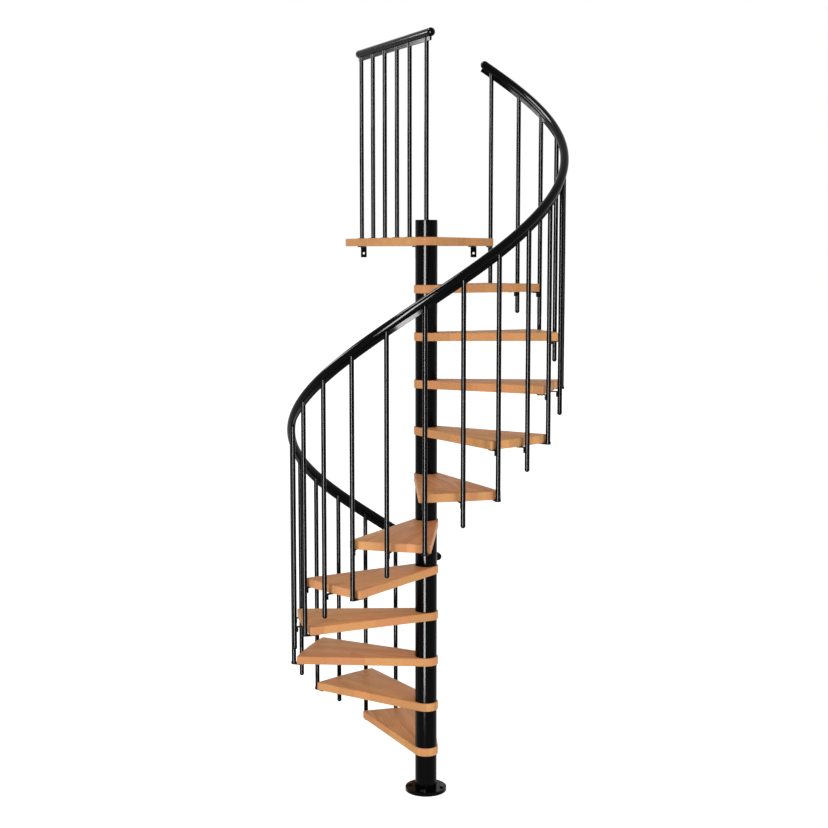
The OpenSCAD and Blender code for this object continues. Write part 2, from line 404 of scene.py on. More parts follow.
def geometry_tree(name, sockets):
    """An empty geometry tree with named inputs. Returns it, its input node and its inputs."""
    tree = bpy.data.node_groups.new(name, "GeometryNodeTree")
    tree.interface.new_socket("Geometry", in_out="INPUT", socket_type="NodeSocketGeometry")
    tree.interface.new_socket("Geometry", in_out="OUTPUT", socket_type="NodeSocketGeometry")
    keys = {}
    for label, kind in sockets.items():
        socket = tree.interface.new_socket(label, in_out="INPUT", socket_type="NodeSocket" + kind)
        keys[label] = socket.identifier
    return tree, add_node(tree, "NodeGroupInput").outputs, keys


def close_tree(tree, geometry, material):
    """Ends a geometry tree in real, painted geometry."""
    real = add_node(tree, "GeometryNodeRealizeInstances", {"Geometry": geometry})
    painted = add_node(tree, "GeometryNodeSetMaterial",
                       {"Geometry": real.outputs[0], "Material": material})
    add_node(tree, "NodeGroupOutput", {"Geometry": painted.outputs[0]})


def grown(mesh, tree, keys, values):
    """Plain mesh that a geometry tree makes from a mesh and its named inputs."""
    host = placed("host", mesh)
    modifier = host.modifiers.new("Grow", "NODES")
    modifier.node_group = tree
    for label, value in values.items():
        modifier[keys[label]] = value
    result = evaluated(host)
    if not result.polygons:
        raise RuntimeError(f"the tree {tree.name} made no faces")
    return result


def marks(places):
    """Points with the turn of what stands on each, from a list of 4 by 4 places."""
    mesh = bpy.data.meshes.new("marks")
    mesh.from_pydata([place.to_translation() for place in places], [], [])
    turn = mesh.attributes.new("turn", "FLOAT_VECTOR", "POINT")
    for place, value in zip(places, turn.data):
        value.vector = Vector(place.to_euler())
    return mesh


def copies_tree():
    """Tree that stands a part on each mark, turned as the mark says."""
    tree, given, keys = geometry_tree(
        "Parts on Marks", {"Part": "Object", "Finish": "Material"})
    part = add_node(tree, "GeometryNodeObjectInfo", {"Object": given["Part"]})
    turn = add_node(tree, "GeometryNodeInputNamedAttribute", {"Name": "turn"},
                    data_type="FLOAT_VECTOR")
    rotation = add_node(tree, "FunctionNodeEulerToRotation", {"Euler": turn.outputs[0]})
    copies = add_node(tree, "GeometryNodeInstanceOnPoints",
                      {"Points": given["Geometry"], "Instance": part.outputs["Geometry"],
                       "Rotation": rotation.outputs[0]})
    close_tree(tree, copies.outputs[0], given["Finish"])
    return tree, keys


def copies(part_mesh, places, material):
    """One mesh of a part repeated at many places."""
    part = placed("part", part_mesh)
    tree, keys = copies_tree()
    mesh = grown(marks(places), tree, keys, {"Part": part, "Finish": material})
    bpy.data.objects.remove(part)
    return mesh


def bars_tree():
    """Tree that raises a round bar on each mark, as tall as the mark's bar_length."""
    tree, given, keys = geometry_tree(
        "Round Bars", {"Radius": "Float", "Sides": "Int", "Finish": "Material"})
    line = add_node(tree, "GeometryNodeCurvePrimitiveLine", {"End": (0, 0, 1)})
    height = add_node(tree, "GeometryNodeInputNamedAttribute", {"Name": "bar_length"},
                      data_type="FLOAT")
    stretch = add_node(tree, "ShaderNodeCombineXYZ",
                       {"X": 1.0, "Y": 1.0, "Z": height.outputs[0]})
    axes = add_node(tree, "GeometryNodeInstanceOnPoints",
                    {"Points": given["Geometry"], "Instance": line.outputs[0],
                     "Scale": stretch.outputs[0]})
    real = add_node(tree, "GeometryNodeRealizeInstances", {"Geometry": axes.outputs[0]})
    circle = add_node(tree, "GeometryNodeCurvePrimitiveCircle",
                      {"Resolution": given["Sides"], "Radius": given["Radius"]})
    tubes = add_node(tree, "GeometryNodeCurveToMesh",
                     {"Curve": real.outputs[0], "Profile Curve": circle.outputs[0],
                      "Fill Caps": True})
    close_tree(tree, tubes.outputs[0], given["Finish"])
    return tree, keys


def helix_tree():
    """Tree that sweeps a round rail, or the flat bar under it, along a rising arc."""
    tree, given, keys = geometry_tree("Helical Rail", {
        "Arc Radius": "Float", "Start": "Float", "Sweep": "Float", "Start Height": "Float",
        "Climb": "Float", "Rings": "Int", "Profile": "Object", "Finish": "Material"})
    line = add_node(tree, "GeometryNodeMeshLine", {"Count": given["Rings"]})
    index = add_node(tree, "GeometryNodeInputIndex")
    last = math_node(tree, "SUBTRACT", given["Rings"], 1.0)
    share = math_node(tree, "DIVIDE", index.outputs[0], last)
    angle = math_node(tree, "MULTIPLY_ADD", share, given["Sweep"], given["Start"])
    height = math_node(tree, "MULTIPLY_ADD", share, given["Climb"], given["Start Height"])
    across, along = [math_node(tree, "MULTIPLY", math_node(tree, ratio, angle),
                               given["Arc Radius"]) for ratio in ("COSINE", "SINE")]
    place = add_node(tree, "ShaderNodeCombineXYZ", {"X": across, "Y": along, "Z": height})
    bent = add_node(tree, "GeometryNodeSetPosition",
                    {"Geometry": line.outputs[0], "Position": place.outputs[0]})
    path = add_node(tree, "GeometryNodeMeshToCurve", {"Mesh": bent.outputs[0]})
    upright = add_node(tree, "GeometryNodeSetCurveNormal", {"Curve": path.outputs[0]})
    upright.mode = "Z_UP"
    profile = add_node(tree, "GeometryNodeObjectInfo", {"Object": given["Profile"]})
    section = add_node(tree, "GeometryNodeMeshToCurve", {"Mesh": profile.outputs["Geometry"]})
    swept = add_node(tree, "GeometryNodeCurveToMesh",
                     {"Curve": upright.outputs[0], "Profile Curve": section.outputs[0],
                      "Fill Caps": True})
    close_tree(tree, swept.outputs[0], given["Finish"])
    return tree, keys


# Materials


def new_material(name):
    """An empty material with a Principled shader. Returns it, its tree and the shader."""
    material = bpy.data.materials.new(name)
    material.use_nodes = True
    tree = material.node_tree
    tree.nodes.clear()
    shader = add_node(tree, "ShaderNodeBsdfPrincipled")
    add_node(tree, "ShaderNodeOutputMaterial", {"Surface": shader.outputs[0]})
    return material, tree, shader


def colour4(colour):
    return (*colour, 1.0)


def noise(tree, vector, size, detail=2.0):
    """Noise whose patches are about a given size across."""
    return add_node(tree, "ShaderNodeTexNoise",
                    {"Vector": vector, "Scale": 1 / size, "Detail": detail}).outputs["Fac"]


def blend(tree, factor, first, second):
    """Colour between two linear ones."""
    return add_node(tree, "ShaderNodeMix",
                    {"Factor": factor, "A": colour4(first), "B": colour4(second)},
                    data_type="RGBA").outputs["Result"]


def spread(tree, value, low, high, start=0.0, end=1.0, **settings):
    """What runs from low to high while a value runs from start to end."""
    return add_node(tree, "ShaderNodeMapRange",
                    {"Value": value, "From Min": start, "From Max": end, "To Min": low,
                     "To Max": high}, **settings).outputs["Result"]


def connect(tree, shader, colour, roughness, height=None, strength=1.0, depth=MM):
    """Leads the patterns into the shader, and a height into its normal."""
    tree.links.new(colour, shader.inputs["Base Color"])
    tree.links.new(roughness, shader.inputs["Roughness"])
    if height:
        bump = add_node(tree, "ShaderNodeBump",
                        {"Height": height, "Strength": strength, "Distance": depth})
        tree.links.new(bump.outputs[0], shader.inputs["Normal"])


# The black finishes and the oil on the oak mirror little of a white room.
SHEEN = 0.05


def black_finish(name, colour, tones, patches, gloss, grain, strength, depth):
    """A black finish: patches of tone between two shares of its colour and of gloss between two
    roughnesses, and a relief of a strength and depth. Patches and grain are noise arguments."""
    material, tree, shader = new_material(name)
    shader.inputs["Specular IOR Level"].default_value = SHEEN
    place = add_node(tree, "ShaderNodeTexCoord").outputs["Object"]
    drift = noise(tree, place, *patches)
    dark, light = [[share * value for value in colour] for share in tones]
    connect(tree, shader, blend(tree, drift, dark, light), spread(tree, drift, *gloss),
            noise(tree, place, *grain), strength, depth)
    return material


def powder_coated_steel(finish):
    """Gloss powder coat baked on steel: deep black, a sharp sheen that ripples like orange peel."""
    # Orange peel has waves about 2 mm long, drawn here at 6 mm so that they show.
    return black_finish("powder_coated_steel", finish.coat, (0.7, 1.6), (90 * MM, 3.0),
                        (0.1, 0.15), (6 * MM, 2.0), 0.05, 0.1 * MM)


def moulded_nylon(finish):
    """Black nylon from a spark-eroded mould: a dull sheen broken up by a fine grain."""
    # The grain of such moulds is 0.1 to 0.3 mm wide, drawn here at 1.2 mm.
    return black_finish("moulded_nylon", finish.nylon, (0.75, 1.5), (25 * MM, 2.0),
                        (0.32, 0.42), (1.2 * MM, 3.0), 0.2, 0.05 * MM)


def extruded_vinyl(finish):
    """Black vinyl handrail pulled through a die: glossy, with faint slow waves along it."""
    return black_finish("extruded_vinyl", finish.vinyl, (0.7, 1.7), (140 * MM, 4.0),
                        (0.08, 0.14), (35 * MM, 1.0), 0.08, 0.3 * MM)


def black_oxide_steel():
    """Screws and bolts blackened in a hot bath: dark metal with an uneven satin sheen."""
    material, tree, shader = new_material("black_oxide_steel")
    shader.inputs["Metallic"].default_value = 1.0
    place = add_node(tree, "ShaderNodeTexCoord").outputs["Object"]
    patches = noise(tree, place, 5 * MM)
    connect(tree, shader, blend(tree, patches, linear("#1E1E20"), linear("#48484B")),
            spread(tree, patches, 0.25, 0.45))
    return material


def staved_oak(finish):
    """Oiled oak glued up from staves: straight rings, dark pores, each stave its own tone."""
    material, tree, shader = new_material("staved_oak")
    shader.inputs["Specular IOR Level"].default_value = SHEEN
    grain = add_node(tree, "ShaderNodeAttribute", attribute_name="grain")
    board = add_node(tree, "ShaderNodeAttribute", attribute_name="board")
    parts = add_node(tree, "ShaderNodeSeparateXYZ", {"Vector": grain.outputs["Vector"]})

    def calc(operation, *values):
        return math_node(tree, operation, *values)

    # The number of the stave, and of the length within it, picks each piece of timber.
    across = calc("DIVIDE", parts.outputs["Y"], finish.stave_width)
    stave = calc("FLOOR", across)
    seed = add_node(tree, "ShaderNodeCombineXYZ",
                    {"X": stave, "Y": board.outputs["Fac"], "Z": 0.5})
    shift = add_node(tree, "ShaderNodeTexWhiteNoise", {"Vector": seed.outputs[0]})
    along = calc("MULTIPLY_ADD", parts.outputs["X"], 1 / finish.stave_length,
                      shift.outputs["Value"])
    length = calc("FLOOR", along)
    name = add_node(tree, "ShaderNodeCombineXYZ",
                    {"X": stave, "Y": board.outputs["Fac"], "Z": length})
    lot = add_node(tree, "ShaderNodeTexWhiteNoise", {"Vector": name.outputs[0]})
    chance = add_node(tree, "ShaderNodeSeparateColor", {"Color": lot.outputs["Color"]})

    # Rings about a pith that lies beside and below the stave
    middle = calc("SUBTRACT", across, calc("ADD", stave, 0.5))
    pith_y = calc("MULTIPLY_ADD", chance.outputs["Red"], 0.16, -0.08)
    ring_y = calc("MULTIPLY_ADD", middle, finish.stave_width, pith_y)
    pith_z = calc("MULTIPLY_ADD", chance.outputs["Green"], 0.09, 0.015)
    ring_z = calc("ADD", parts.outputs["Z"], pith_z)
    stretched = add_node(tree, "ShaderNodeMapping",
                         {"Vector": grain.outputs["Vector"], "Location": lot.outputs["Color"],
                          "Scale": (1.6, 14.0, 14.0)})
    wander = noise(tree, stretched.outputs[0], 1.0)
    depth = add_node(tree, "ShaderNodeVectorMath",
                     {0: add_node(tree, "ShaderNodeCombineXYZ",
                                  {"Y": ring_y, "Z": ring_z}).outputs[0]},
                     operation="LENGTH")
    wandered = calc("MULTIPLY_ADD", wander, 0.02, depth.outputs["Value"])
    # Rings are 2 to 3 mm apart in oak, drawn here at 5 mm so that they show.
    phase = calc("FRACT", calc("DIVIDE", wandered, 5 * MM))
    ring = spread(tree, phase, 0.0, 0.55, 0.25, 1.0, interpolation_type="SMOOTHSTEP")

    # Pores are streaks 0.3 mm wide and 20 mm long, drawn here 2 mm wide.
    pore_space = add_node(tree, "ShaderNodeMapping",
                          {"Vector": grain.outputs["Vector"], "Location": lot.outputs["Color"],
                           "Scale": (1 / (40 * MM), 1 / (2 * MM), 1 / (2 * MM))})
    pores = noise(tree, pore_space.outputs[0], 1.0)
    dark = calc("MAXIMUM", ring, spread(tree, pores, 0.0, 0.5, 0.5, 0.75))

    # Glue lines are hairlines, drawn here 0.8 mm wide.
    glue = 0.4 * MM
    side = spread(tree, calc("ABSOLUTE", middle), 0.0, 0.6, 0.5 - glue / finish.stave_width, 0.5)
    from_end = calc("ABSOLUTE", calc("SUBTRACT", calc("FRACT", along), 0.5))
    end = spread(tree, from_end, 0.0, 0.6, 0.5 - glue / finish.stave_length, 0.5)
    shade = calc("MAXIMUM", dark, calc("MAXIMUM", side, end))
    wood = blend(tree, shade, finish.oak_light, finish.oak_dark)
    # Each length of timber is a little lighter, darker, redder or yellower than the next.
    tint = add_node(tree, "ShaderNodeHueSaturation",
                    {"Color": wood,
                     "Hue": calc("MULTIPLY_ADD", chance.outputs["Blue"], 0.016, 0.492),
                     "Saturation": 1.0,
                     "Value": calc("MULTIPLY_ADD", chance.outputs["Red"], 0.2, 0.9)})
    connect(tree, shader, tint.outputs[0], spread(tree, shade, 0.42, 0.6),
            calc("SUBTRACT", 1.0, shade), 0.25, 0.15 * MM)
    return material


# How brightly the floor glows where it is seen
FLOOR_GLOW = 0.75


def studio_white():
    """Pale seamless floor, faintly mottled, that the camera sees as white."""
    material, tree, shader = new_material("studio_white")
    place = add_node(tree, "ShaderNodeTexCoord").outputs["Object"]
    mottle = noise(tree, place, 2 / 3)
    tree.links.new(blend(tree, mottle, linear("#F4F4F4"), linear("#F7F7F7")),
                   shader.inputs["Base Color"])
    shader.inputs["Roughness"].default_value = 1.0
    shader.inputs["Specular IOR Level"].default_value = 0.0
    glow = add_node(tree, "ShaderNodeEmission",
                    {"Strength": math_node(tree, "MULTIPLY", seen_directly(tree), FLOOR_GLOW)})
    both = add_node(tree, "ShaderNodeAddShader", {0: shader.outputs[0], 1: glow.outputs[0]})
    output = next(node for node in tree.nodes if node.type == "OUTPUT_MATERIAL")
    tree.links.new(both.outputs[0], output.inputs["Surface"])
    return material


def seen_directly(tree):
    """1 for what the camera, a reflection or glass sees, and 0 for light on the object."""
    path = add_node(tree, "ShaderNodeLightPath").outputs
    mirrored = math_node(tree, "MAXIMUM", path["Is Camera Ray"], path["Is Glossy Ray"])
    return math_node(tree, "MAXIMUM", mirrored, path["Is Transmission Ray"])


def material_of(maker, *finish):
    """The material that a function makes, made when it is first asked for."""
    return bpy.data.materials.get(maker.__name__) or maker(*finish)


# Places of repeated parts


def upright(x, y, z, angle=0.0):
    """Place of a part that stands at a point, turned about its own axis."""
    return Matrix.Translation((x, y, z)) @ Matrix.Rotation(angle, 4, "Z")


def facing(point, direction):
    """Place of a part that stands on a point and faces along a direction."""
    turn = Vector(direction).to_track_quat("Z", "Y").to_matrix().to_4x4()
    return Matrix.Translation(point) @ turn


def tread_direction(node):
    """Angle of the middle line of a tread, from the points of its outer edge."""
    points = [point for point in outline(node) if point.xy.length > ring_radius / 2]
    total = sum((point.xy for point in points), Vector((0, 0)))
    return math.atan2(total.y, total.x)


def rail_point(share):
    """Point on the axis of the helical rail at a share of its length, and its way upwards."""
    angle = rail_start + share * rail_sweep
    point = Vector((ring_radius * math.cos(angle), ring_radius * math.sin(angle),
                    rail_low.z + share * (rail_high.z - rail_low.z)))
    along = Vector((-math.sin(angle) * math.cos(rail_slope),
                    math.cos(angle) * math.cos(rail_slope), math.sin(rail_slope)))
    return point, along


# Operators


class PieceOperator:
    """What the operators of the pieces share: each has a build step for sizes and finish"""

    def execute(self, context):
        self.build(context.scene.staircase_sizes, context.scene.staircase_finish)
        return {"FINISHED"}


class STAIRCASE_OT_column(PieceOperator, bpy.types.Operator):
    """Builds the floor flange, the tubes between the treads and the lid of the column"""

    bl_idname = "staircase.column"
    bl_label = "Column"

    def build(self, sizes, finish):
        coat = material_of(powder_coated_steel, finish)
        edge = sizes.steel_round
        for node in TUBES:
            low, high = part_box(node)
            inner = column_radius - TUBE_WALL
            profile = [(inner, low.z), (column_radius - edge, low.z),
                       (column_radius, low.z + edge), (column_radius, high.z - edge),
                       (column_radius - edge, high.z), (inner, high.z)]
            add_piece("column_" + node.replace("spacer", "tube"),
                      turned(profile, 96, ring=True), coat, [node])
        self.flange(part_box("spacer_1")[0].z, 1.5 * edge, coat)
        low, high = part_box("column_lid")
        add_piece("column_lid_cap",
                  turned(chamfered_disc(column_radius, low.z, high.z, 1.5 * edge), 96),
                  coat, ["column_lid"])
        pole = frame["nodes"]["centre_pole"].data
        pole.materials.clear()
        pole.materials.append(coat)

    def flange(self, top, edge, coat):
        """The floor plate with its ring of bolt holes"""
        radius = extent("floor_flange").x / 2
        plate = placed("plate", turned(chamfered_disc(radius, 0, top, edge), 96))
        drill = placed("drill", joined([
            turned(chamfered_disc(hole_radius(), -edge, top + edge, edge / 2), 24,
                   upright(x, y, 0)) for x, y in bolt_points()]))
        cut = plate.modifiers.new("Holes", "BOOLEAN")
        cut.operation = "DIFFERENCE"
        cut.object = drill
        add_piece("flange_plate", evaluated(plate), coat, ["floor_flange"])
        bpy.data.objects.remove(drill)


def hole_radius():
    return MOUNTS["floor_bolts"]["dims"]["hole_r_mm"] * MM


def bolt_points():
    """Centres of the floor bolts, whose first angle is read from the rims of the holes."""
    circle = MOUNTS["floor_bolts"]["dims"]["pcd_mm"] * MM / 2
    count = MOUNTS["floor_bolts"]["dims"]["count"]
    points = solids("floor_flange")[0]
    off_circle = np.abs(np.hypot(points[:, 0], points[:, 1]) - circle)
    rims = points[off_circle < hole_radius() * 1.01]
    turns = np.arctan2(rims[:, 1], rims[:, 0]) * count
    first = math.atan2(np.sin(turns).sum(), np.cos(turns).sum()) / count
    return [(circle * math.cos(first + math.tau * i / count),
             circle * math.sin(first + math.tau * i / count)) for i in range(count)]


class STAIRCASE_OT_treads(PieceOperator, bpy.types.Operator):
    """Builds the wedge treads from glued oak staves"""

    bl_idname = "staircase.treads"
    bl_label = "Treads"

    def build(self, sizes, finish):
        oak = material_of(staved_oak, finish)
        for number, node in enumerate(TREADS, 1):
            mesh = slab(outline(node), tread_thickness, sizes.tread_round)
            set_grain(mesh, tread_direction(node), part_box(node)[0].z, number)
            add_piece(f"oak_{node}", mesh, oak, [node])


class STAIRCASE_OT_landing(PieceOperator, bpy.types.Operator):
    """Builds the landing and the brackets that hold it to the wall"""

    bl_idname = "staircase.landing"
    bl_label = "Landing"

    def build(self, sizes, finish):
        mesh = slab(outline("landing"), tread_thickness, sizes.tread_round)
        set_grain(mesh, 0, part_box("landing")[0].z, len(TREADS) + 1)
        add_piece("oak_landing", mesh, material_of(staved_oak, finish), ["landing"])
        add_piece("landing_brackets", softened("wall_brackets", sizes.steel_round),
                  material_of(powder_coated_steel, finish), ["wall_brackets"])


class STAIRCASE_OT_balusters(PieceOperator, bpy.types.Operator):
    """Builds the round balusters, the plugs in their feet and the feet on the landing"""

    bl_idname = "staircase.balusters"
    bl_label = "Balusters"

    def build(self, sizes, finish):
        coat = material_of(powder_coated_steel, finish)
        nylon = material_of(moulded_nylon, finish)
        radius = sizes.baluster / 2
        plugged = [bar for bar in spiral_bars if bar in middle_bars or bar is spiral_bars[0]]
        for name, group in (("joint", joint_bars), ("middle", middle_bars),
                            ("landing", landing_bars)):
            lift = [radius + sizes.cap_collar / 2 if bar in plugged else 0 for bar in group]
            mesh = marks([upright(bar["x"], bar["y"], bar["foot"] + up)
                          for bar, up in zip(group, lift)])
            heights = mesh.attributes.new("bar_length", "FLOAT", "POINT")
            heights.data.foreach_set(
                "value", [bar["top"] - bar["foot"] - up for bar, up in zip(group, lift)])
            tree, keys = bars_tree()
            rods = grown(mesh, tree, keys, {"Radius": radius, "Sides": 32, "Finish": coat})
            add_piece(f"{name}_bars", rods, coat, [f"{name}_balusters"])
        add_piece("baluster_plugs",
                  copies(self.plug(radius, sizes.cap_collar),
                         [upright(bar["x"], bar["y"], bar["foot"]) for bar in plugged],
                         nylon),
                  nylon, [])
        self.feet(radius, coat)

    def plug(self, radius, collar):
        """A domed plug with a collar a little wider than the bar"""
        proud = radius + 0.4 * MM
        dome = [(proud * math.sin(turn), radius - radius * math.cos(turn))
                for turn in np.linspace(0, math.pi / 2, 9)]
        return turned(dome + [(proud, radius + collar - 0.4 * MM),
                              (radius, radius + collar), (0, radius + collar)], 32)

    def feet(self, radius, coat):
        """The low rosettes under the balusters of the landing"""
        feet = bars("landing_feet")
        foot = feet[0]["radius"]
        height = feet[0]["top"] - feet[0]["foot"]
        profile = [(0, 0), (foot, 0), (foot, 0.3 * height), (foot - 0.8 * MM, 0.55 * height),
                   (0.8 * foot, 0.8 * height), (radius + 2 * MM, height), (0, height)]
        places = [upright(item["x"], item["y"], item["foot"]) for item in feet]
        add_piece("landing_rosettes", copies(turned(profile, 40), places, coat), coat,
                  ["landing_feet"])


class STAIRCASE_OT_clips(PieceOperator, bpy.types.Operator):
    """Builds the moulded sockets at the tread ends and the angles that steady the balusters"""

    bl_idname = "staircase.clips"
    bl_label = "Clips"

    def build(self, sizes, finish):
        nylon = material_of(moulded_nylon, finish)
        for node in ("end_clips", "passing_clips", "middle_clips"):
            add_piece("moulded_" + node, softened(node, sizes.clip_round), nylon, [node])


class STAIRCASE_OT_handrails(PieceOperator, bpy.types.Operator):
    """Builds the helical handrail, the straight one on the landing and their end caps"""

    bl_idname = "staircase.handrails"
    bl_label = "Handrails"

    def build(self, sizes, finish):
        vinyl = material_of(extruded_vinyl, finish)
        coat = material_of(powder_coated_steel, finish)
        radius = sizes.rail / 2
        strip = self.strip_outline(sizes.strip_width, radius)
        circle = [(radius * math.cos(turn), radius * math.sin(turn))
                  for turn in np.linspace(0, math.tau, 49)[:-1]]
        add_piece("helical_rail", self.sweep(circle, vinyl), vinyl, ["handrail"])
        add_piece("helical_strip", self.sweep(strip, coat), coat, [])
        start, end = landing_rail_ends
        add_piece("landing_rail", self.straight(circle, start, end), vinyl,
                  ["landing_handrail"])
        add_piece("landing_strip", self.straight(strip, start, end), coat, [])
        low_point, low_along = rail_point(0)
        high_point, high_along = rail_point(1)
        run = (end - start).normalized()
        caps = {"helical_rail_caps": ([(low_point, -low_along), (high_point, high_along)],
                                      "handrail_ends"),
                "landing_rail_caps": ([(start, -run), (end, run)], "landing_rail_ends")}
        for name, (ends, node) in caps.items():
            places = [facing(point - direction * sizes.rail_collar, direction)
                      for point, direction in ends]
            add_piece(name, copies(self.cap(radius, sizes.rail_collar), places, vinyl), vinyl,
                      [node])

    def strip_outline(self, width, radius):
        """Section of the flat bar, which starts inside the rail"""
        half = width / 2
        edge = 0.8 * MM
        top = -0.8 * radius
        low = -radius - strip_depth
        return [(-half, top), (-half, low + edge), (-half + edge, low), (half - edge, low),
                (half, low + edge), (half, top)]

    def sweep(self, section, material):
        """A section swept along the helix by a geometry tree"""
        mesh = bpy.data.meshes.new("section")
        count = len(section)
        # A swept profile has its own Y axis pointing down, so the section is turned half round.
        mesh.from_pydata([(-x, -y, 0) for x, y in section],
                         [(i, (i + 1) % count) for i in range(count)], [])
        profile = placed("section", mesh)
        tree, keys = helix_tree()
        result = grown(bpy.data.meshes.new("empty"), tree, keys, {
            "Arc Radius": ring_radius, "Start": rail_start, "Sweep": rail_sweep,
            "Start Height": rail_low.z, "Climb": rail_high.z - rail_low.z, "Rings": 220,
            "Profile": profile, "Finish": material})
        bpy.data.objects.remove(profile)
        return result

    def straight(self, section, start, end):
        """A section swept from point to point"""
        run = (end - start).normalized()
        side = run.cross(Vector((0, 0, 1)))
        shell = bmesh.new()
        rings = [[shell.verts.new(point + side * x + Vector((0, 0, y))) for x, y in section]
                 for point in (start, end)]
        bridge(shell, rings)
        shell.faces.new(rings[0])
        shell.faces.new(rings[1])
        return finished(shell)

    def cap(self, radius, collar):
        """A domed end cap whose collar grips the rail and stands a little proud of it"""
        proud = radius + 0.5 * MM
        dome = [(proud * math.cos(turn), collar + radius * math.sin(turn))
                for turn in np.linspace(0, math.pi / 2, 13)]
        dome[-1] = (0, collar + radius)
        return turned([(0, 0), (radius - 1 * MM, 0), (proud, 1 * MM)] + dome, 48)


class STAIRCASE_OT_fixings(PieceOperator, bpy.types.Operator):
    """Builds the floor bolts and the screws of the clips and the brackets"""

    bl_idname = "staircase.fixings"
    bl_label = "Fixings"

    def build(self, sizes, finish):
        steel = material_of(black_oxide_steel)
        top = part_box("spacer_1")[0].z
        bolts = copies(self.bolt(sizes.bolt / 2),
                       [upright(x, y, top, 0.3) for x, y in bolt_points()], steel)
        add_piece("floor_anchor_bolts", bolts, steel, [])
        screw = self.screw(sizes.screw / 2)
        add_piece("clip_screws", copies(screw.copy(), self.clip_places(), steel), steel, [])
        add_piece("bracket_screws", copies(screw, self.bracket_places(), steel), steel,
                  [])

    def bolt(self, corner):
        """A hexagon head on a washer"""
        head = 6.4 * MM
        washer = 2 * MM
        edge = 1 * MM
        disc = turned(chamfered_disc(1.15 * corner, 0, washer, edge / 2), 32)
        hexagon = turned([(0, washer), (corner, washer), (corner, washer + head - edge),
                          (0.86 * corner, washer + head), (0, washer + head)], 6)
        return joined([disc, hexagon])

    def screw(self, radius):
        """A pan head with a round driver recess"""
        height = 0.6 * radius
        recess = 0.4 * radius
        return turned([(0, 0), (radius, 0), (0.98 * radius, 0.4 * height),
                       (0.8 * radius, 0.85 * height), (0.55 * radius, height),
                       (recess, height), (0.9 * recess, 0.3 * height), (0, 0.3 * height)], 16)

    def clip_places(self):
        """Two screws up through each clip plate, and one into each baluster that passes on"""
        places = []
        for node in ("end_clips", "passing_clips", "middle_clips"):
            for points in solids(node):
                places += self.plate_places(points, node)
        return places

    def plate_places(self, points, node):
        top = points[:, 2].max()
        tread = min(TREADS + ["landing"], key=lambda name: abs(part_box(name)[0].z - top))
        angle = (tread_direction(tread) if tread != "landing"
                 else tread_direction(TREADS[-1]) + step_angle)
        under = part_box(tread)[0].z
        out = Vector((math.cos(angle), math.sin(angle), 0))
        side = Vector((-out.y, out.x, 0))
        reach = points @ np.array(out)
        width = points @ np.array(side)
        across = (width.min() + width.max()) / 2
        places = []
        for inset in SCREW_INSETS:
            point = out * (reach.min() + inset) + side * across
            places.append(facing(Vector((point.x, point.y, under - PLATE)), (0, 0, -1)))
        if node != "end_clips":
            point = out * (reach.max() - PLATE) + side * across
            drop = (points[:, 2].min() + under - PLATE) / 2
            places.append(facing(Vector((point.x, point.y, drop)), -out))
        return places

    def bracket_places(self):
        """Two screws up through each bracket into the landing"""
        places = []
        # The bracket's back edge is at the wall, and the shares run from there.
        for points in solids("wall_brackets"):
            low, high = points.min(0), points.max(0)
            for share in (0.3, 0.75):
                y = high[1] + share * (low[1] - high[1])
                places.append(facing(((low[0] + high[0]) / 2, y, high[2] - PLATE),
                                     (0, 0, -1)))
        return places


# The black pieces other than the column that take a gleam, by the last word of their names
GLEAMING = ("bars", "caps", "clips", "plugs", "rail", "strip")

FLOOR_REACH = 60.0

# How strongly the white world lights the object
WORLD_LIGHT = 0.46

# Each lamp: name, place, point it faces, width and height, power, and whether it lights the
# object or only gleams on the black. Places are to the right of the column as the camera sees
# it, behind it, and above the floor.
LAMPS = (
    ("soft_box_left", (-4.35, -4.83, 2.4), (0, 0, 2.4), (2.2, 4.5), 158, True),
    ("soft_box_right", (4.0, -5.12, 2.4), (0, 0, 2.4), (2.2, 4.5), 134, True),
    ("gleam_strip", (-1.68, -6.28, 1.8), (0, 0, 1.8), (1.9, 6.5), 5200, False),
    ("gleam_panel", (-5.0, 1.75, 4.4), (0, 1.75, 4.4), (4.3, 1.0), 380, False),
    ("gleam_window", (-5.0, 1.0, 9.8), (0, 0.5, 3.5), (3.4, 3.0), 1700, False),
)

# The camera looks slightly down on the middle of the stair from 7.2 m away.
CAMERA_AZIMUTH = 15.5
CAMERA_DISTANCE = 7.203
CAMERA_HEIGHT = 2.75
CAMERA_TILT = 6.27
CAMERA_YAW = 0.49
CAMERA_LENS = 62.52


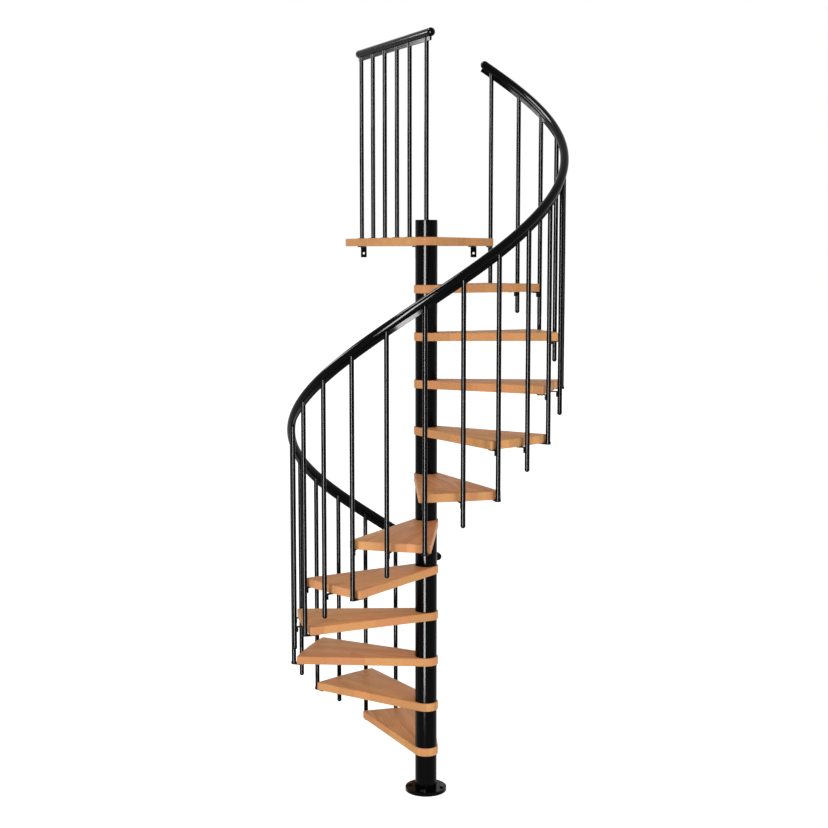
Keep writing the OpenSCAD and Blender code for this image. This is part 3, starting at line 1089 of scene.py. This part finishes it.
class STAIRCASE_OT_stage(bpy.types.Operator):
    """Sets up the white floor, the soft light and the camera"""

    bl_idname = "staircase.stage"
    bl_label = "Studio"

    def execute(self, context):
        self.floor()
        self.world(context)
        self.lamps(context)
        self.camera(context)
        context.scene.view_settings.view_transform = "Standard"
        return {"FINISHED"}

    def floor(self):
        mesh = bpy.data.meshes.new("studio_floor")
        mesh.from_pydata([(x * FLOOR_REACH, y * FLOOR_REACH, 0)
                          for x, y in ((-1, -1), (1, -1), (1, 1), (-1, 1))], [], [(0, 1, 2, 3)])
        mesh.materials.append(studio_white())
        floor = placed("studio_floor", mesh)
        # Reflections pass the floor and meet the white world.
        floor.visible_glossy = False

    def world(self, context):
        """White where it is seen, and a softer even light on the object"""
        world = bpy.data.worlds.new("studio")
        context.scene.world = world
        world.use_nodes = True
        tree = world.node_tree
        tree.nodes.clear()
        background = add_node(tree, "ShaderNodeBackground", {
            "Color": (1, 1, 1, 1),
            "Strength": spread(tree, seen_directly(tree), WORLD_LIGHT, 1.0)})
        add_node(tree, "ShaderNodeOutputWorld", {"Surface": background.outputs[0]})

    def lamps(self, context):
        """A soft box at each side of the camera, and three lamps that only gleam on the black"""
        black = bpy.data.collections.new("gleaming_pieces")
        for piece in context.scene.objects:
            if piece.name.split("_")[0] == "column" or piece.name.split("_")[-1] in GLEAMING:
                black.objects.link(piece)
        across = Matrix.Rotation(math.radians(CAMERA_AZIMUTH), 3, "Z")
        for name, place, aim, size, power, lights in LAMPS:
            light = bpy.data.lights.new(name, "AREA")
            light.shape = "RECTANGLE"
            light.size, light.size_y = size
            light.energy = power
            lamp = placed(name, light)
            lamp.location = across @ Vector(place)
            facing_way = across @ (Vector(aim) - Vector(place))
            lamp.rotation_euler = facing_way.to_track_quat("-Z", "Y").to_euler()
            lamp.visible_camera = False
            lamp.visible_diffuse = lights
            lamp.visible_glossy = not lights
            if not lights:
                lamp.light_linking.receiver_collection = black

    def camera(self, context):
        """A camera a little above the middle of the stair, looking slightly down"""
        camera = bpy.data.cameras.new("studio_camera")
        camera.lens = CAMERA_LENS
        camera.clip_end = 300
        item = placed("studio_camera", camera)
        turn = math.radians(CAMERA_AZIMUTH)
        item.location = (CAMERA_DISTANCE * math.sin(turn), -CAMERA_DISTANCE * math.cos(turn),
                         CAMERA_HEIGHT)
        item.rotation_euler = (math.radians(90 - CAMERA_TILT), 0,
                               turn + math.radians(CAMERA_YAW))
        context.scene.camera = item


class STAIRCASE_PT_panel(bpy.types.Panel):
    """Lists the steps that build the staircase"""

    bl_idname = "STAIRCASE_PT_panel"
    bl_label = "Spiral Staircase"
    bl_space_type = "VIEW_3D"
    bl_region_type = "UI"
    bl_category = "Staircase"

    def draw(self, context):
        for group in (context.scene.staircase_sizes, context.scene.staircase_finish):
            for name in group.__annotations__:
                self.layout.prop(group, name)
        for operator in OPERATORS:
            self.layout.operator(operator.bl_idname)


OPERATORS = (STAIRCASE_OT_column, STAIRCASE_OT_treads, STAIRCASE_OT_landing,
             STAIRCASE_OT_balusters, STAIRCASE_OT_clips, STAIRCASE_OT_handrails,
             STAIRCASE_OT_fixings, STAIRCASE_OT_stage)
CLASSES = (StaircaseSizes, StaircaseFinish, *OPERATORS, STAIRCASE_PT_panel)


def register():
    for item in CLASSES:
        bpy.utils.register_class(item)
    bpy.types.Scene.staircase_sizes = bpy.props.PointerProperty(type=StaircaseSizes)
    bpy.types.Scene.staircase_finish = bpy.props.PointerProperty(type=StaircaseFinish)


def unregister():
    del bpy.types.Scene.staircase_finish
    del bpy.types.Scene.staircase_sizes
    for item in reversed(CLASSES):
        bpy.utils.unregister_class(item)


def main():
    register()
    for operator in OPERATORS:
        group, name = operator.bl_idname.split(".")
        getattr(getattr(bpy.ops, group), name)()


if __name__ == "__main__":
    main()
